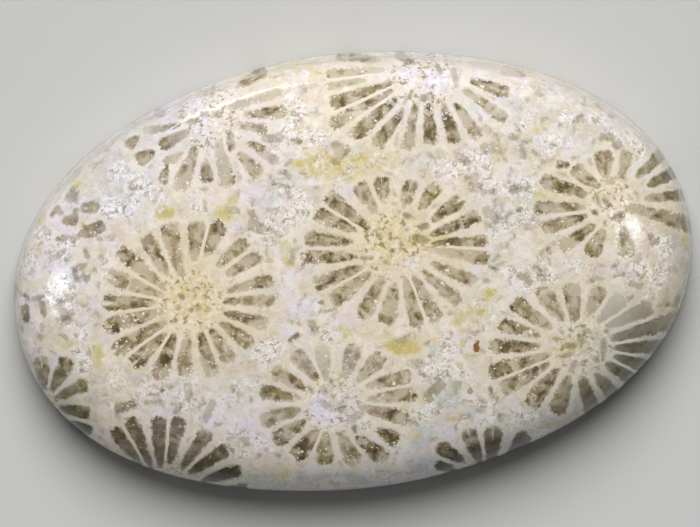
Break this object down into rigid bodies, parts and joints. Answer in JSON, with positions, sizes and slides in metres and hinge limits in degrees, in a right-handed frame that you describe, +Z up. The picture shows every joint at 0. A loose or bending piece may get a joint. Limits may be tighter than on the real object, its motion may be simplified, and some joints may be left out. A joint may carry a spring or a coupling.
{
  "type": "polished fossil coral cabochon",
  "caption": "Oval stone cut from a fossil coral head, with a flat back, a low wall and a polished dome that shows the corallites as flower-like patterns.",
  "frame": {"origin": "middle of the flat back, on the surface that the stone lies on", "axes": "+X along the oval's long axis, +Y across it, +Z up out of the dome"},
  "size_m": [0.034, 0.0218, 0.0058],
  "materials": {
    "polished_coral": "silicified coral, cut and polished to a gloss on its dome and wall, finely ground on its back: cream skeleton, grey-brown chambers in rosettes, pale speckled filling with yellow iron stains"
  },
  "bodies": {
    "root": {"fossil_coral_cabochon": "polished_coral"}
  },
  "joints": []
}
